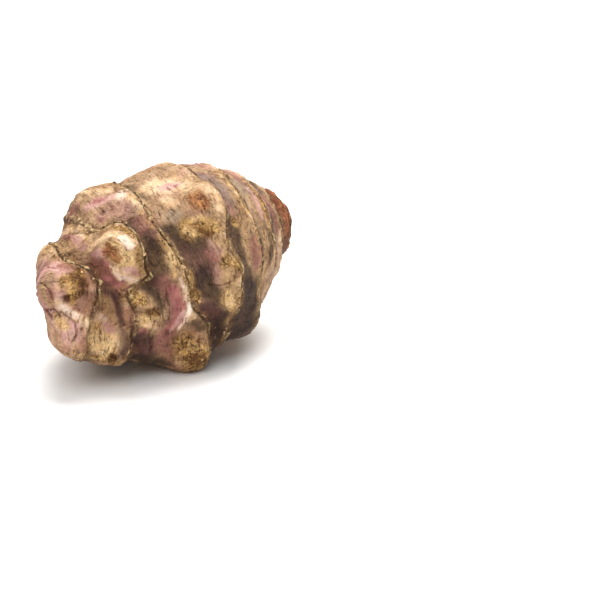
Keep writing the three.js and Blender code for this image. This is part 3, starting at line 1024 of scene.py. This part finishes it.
# scatters a shape over the skin where it is likely to be
def scatter(name, tree, look, likely, shape, sizePower=1):
    chosen = np.nonzero(chance.random(len(plain)) < likely)[0]
    sizes = chance.uniform(*look["sizes"], len(chosen)) ** sizePower
    outs = np.empty(len(skin.data.vertices) * 3)
    skin.data.vertices.foreach_get("normal", outs)
    outs = outs.reshape(-1, 3)[chosen]
    mesh = bpy.data.meshes.new(name)
    mesh.from_pydata(((shaped[chosen] - outs * look["sunk"] + axisPlace) * mm).tolist(), [], [])
    addValues(mesh, "out", outs, "FLOAT_VECTOR")
    addValues(mesh, "size", sizes)
    piece = addPiece(name, mesh)
    modifier = piece.modifiers.new("scatter", "NODES")
    modifier.node_group = tree
    inputs = {
        "Shape": shape, "Least": look["tiltLeast"], "Most": look["tiltMost"], "Seed": look["seed"],
        "Finish": shadedMaterial(look),
    }
    for socket in tree.interface.items_tree:
        if socket.in_out == "INPUT" and socket.name in inputs:
            modifier[socket.identifier] = inputs[socket.name]
    grown = evaluatedMesh(piece)
    piece.modifiers.clear()
    piece.data = grown
    bpy.data.objects.remove(shape)
    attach(piece, "root")
    print(name, "has", len(grown.polygons), "faces")
    return piece


# a finish between a dark and a light tone, as each small shape's own shade says
def shadedMaterial(look):
    material, tree, shader = startMaterial(look["finish"])
    streaks = combine(tree, "SUBTRACT", grain(tree, objectPlace(tree), 0.6), 0.5)
    shade = plus(tree, valueOf(tree, "shade"), times(tree, streaks, 1.6))
    tint = blendColour(tree, fade(tree, shade, 0.1, 0.9), colour(look["dark"]), colour(look["light"]))
    tree.links.new(tint, shader.inputs["Base Color"])
    shader.inputs["Roughness"].default_value = look["roughness"]
    return material


flakes = {
    "length": 1.1, "width": 0.9, "thick": 0.1, "curl": 0.1, "cup": 0.5, "tear": 0.3, "taper": 0.6,
    "rows": 4, "columns": 3,
    "share": 0.09, "within": 0.5,  # of the skin's points that bear one, and how near a scar
    "patch": 2.5, "clear": 8,  # size of the patches they stand in, and how high over the table they begin
    "sunk": 0.13, "sizes": (0.5, 1.3), "seed": 3,
    "tiltLeast": (-0.25, -0.2, -1.2), "tiltMost": (0.25, 0.05, 1.2),
    "finish": "flake", "dark": (130, 94, 62), "light": (218, 180, 130), "roughness": 0.7,
}
grains = {
    "radius": 0.36, "uneven": 0.25, "flat": 0.7,
    "share": 0.035, "patch": 3, "clear": 4,
    "sunk": 0.12, "sizes": (0.5, 1.3), "seed": 4,
    "tiltLeast": (-0.6, -0.6, -3), "tiltMost": (0.6, 0.6, 3),
    "finish": "cork", "dark": (120, 80, 50), "light": (222, 178, 124), "roughness": 0.8,
}
chance = np.random.default_rng(11)


# one papery flake, curled up along its length and torn at its tip
def flakeShape():
    rows, columns = flakes["rows"], flakes["columns"]
    corners = []
    for i in range(rows + 1):
        for j in range(columns + 1):
            along, aside = i / rows, j / columns - 0.5
            torn = flakes["tear"] * ((5 * j) % 3 - 1) if i == rows else 0
            narrow = math.sqrt(1 - flakes["taper"] * along * along)
            rise = flakes["curl"] * along ** 2 + flakes["cup"] * aside ** 2
            corner = ((along + torn) * flakes["length"], aside * narrow * flakes["width"], rise)
            corners.append([part * mm for part in corner])
    faces = []
    for i in range(rows):
        for j in range(columns):
            first = i * (columns + 1) + j
            faces.append((first, first + columns + 1, first + columns + 2, first + 1))
    mesh = bpy.data.meshes.new("flake")
    mesh.from_pydata(corners, [], faces)
    piece = addPiece("flake", mesh)
    solidify = piece.modifiers.new("solidify", "SOLIDIFY")
    solidify.thickness = flakes["thick"] * mm
    piece.data = evaluatedMesh(piece)
    piece.modifiers.clear()
    return piece


# one grain of cork
def grainShape():
    lump = bmesh.new()
    bmesh.ops.create_icosphere(lump, subdivisions=1, radius=grains["radius"] * mm)
    for i, vert in enumerate(lump.verts):
        vert.co *= 1 + grains["uneven"] * math.sin(5 * i)
        vert.co.z *= grains["flat"]
    mesh = bpy.data.meshes.new("grain")
    lump.to_mesh(mesh)
    lump.free()
    return addPiece("grain", mesh)


# where the skin is far enough over the table
def clearOfTable(look):
    return plain[:, 2] > look["clear"] - axisPlace[2]


tree = scatterTree()
likely = bell(nearestPast, scarForm["cutPast"], flakes["within"]) * scarBoldness(turns, past)
patches = ease(noise(plain, flakes["patch"], 301, octaves=2), -0.3, 0.4)
likely *= patches * flakes["share"] * clearOfTable(flakes)
scatter("scarFlakes", tree, flakes, likely, flakeShape())
patches = ease(noise(plain, grains["patch"], 302, octaves=2), -0.4, 0.4)
likely = ease(bark, 0.55, 0.85) * patches * grains["share"] * clearOfTable(grains)
scatter("corkGrains", tree, grains, likely, grainShape(), sizePower=2)


stage = {"span": 3000, "tone": 0.92, "roughness": 0.9, "specular": 0.2}


def addFloor():
    half = stage["span"] / 2 * mm
    corners = [(-half, -half, 0), (half, -half, 0), (half, half, 0), (-half, half, 0)]
    mesh = bpy.data.meshes.new("floor")
    mesh.from_pydata(corners, [], [(0, 1, 2, 3)])
    finish, tree, shader = startMaterial("paleFloor")
    shader.inputs["Base Color"].default_value = (stage["tone"],) * 3 + (1,)
    shader.inputs["Roughness"].default_value = stage["roughness"]
    shader.inputs["Specular IOR Level"].default_value = stage["specular"]
    mesh.materials.append(finish)
    addPiece("floor", mesh)


addFloor()

# the camera looks a little past the tuber, which lies left of the picture's middle and above it
view = {"turned": -31, "raised": 22, "away": 500, "lens": 100, "tuberLeft": 40.5, "tuberUp": 10.5}


# from the tuber to where something stands, turned about it and raised over the table
def towards(stand):
    turned, raised = math.radians(stand["turned"]), math.radians(stand["raised"])
    level = math.cos(raised)
    return Vector((math.sin(turned) * level, -math.cos(turned) * level, math.sin(raised)))


def addCamera():
    turned = math.radians(view["turned"])
    right = Vector((math.cos(turned), math.sin(turned), 0))
    back = towards(view)
    up = back.cross(right)
    aim = (Vector(tuber["axisPlace"]) + right * view["tuberLeft"] - up * view["tuberUp"]) * mm
    camera = bpy.data.objects.new("camera", bpy.data.cameras.new("camera"))
    camera.data.lens = view["lens"]
    camera.data.clip_start = 0.01
    camera.location = aim + back * view["away"] * mm
    camera.rotation_euler = back.to_track_quat("Z", "Y").to_euler()
    scene.collection.objects.link(camera)
    scene.camera = camera


addCamera()

# soft suns: where each stands, seen from the tuber, and how wide it is
lamps = {
    "skylight": {"turned": 130, "raised": 66, "wide": 45, "strength": 4.4, "tint": (1, 0.99, 0.97)},
    "window": {"turned": -54, "raised": 60, "wide": 50, "strength": 1.9, "tint": (1, 0.99, 0.98)},
}
backdrop = {"glow": 0.27, "seen": 1.0}


def addLamp(name, lamp):
    light = bpy.data.objects.new(name, bpy.data.lights.new(name, "SUN"))
    light.data.angle = math.radians(lamp["wide"])
    light.data.energy = lamp["strength"]
    light.data.color = lamp["tint"]
    light.rotation_euler = towards(lamp).to_track_quat("Z", "Y").to_euler()
    scene.collection.objects.link(light)


def addBackdrop():
    world = bpy.data.worlds.new("studio")
    scene.world = world
    world.use_nodes = True
    tree = world.node_tree
    background = tree.nodes["Background"]
    seen = addNode(tree, "ShaderNodeLightPath", {}).outputs["Is Camera Ray"]
    strength = fade(tree, seen, 0, 1, backdrop["glow"], backdrop["seen"])
    tree.links.new(strength, background.inputs["Strength"])
    background.inputs["Color"].default_value = (1, 1, 1, 1)


for name, lamp in lamps.items():
    addLamp(name, lamp)
addBackdrop()
scene.view_settings.view_transform = "Standard"
print("stage set")
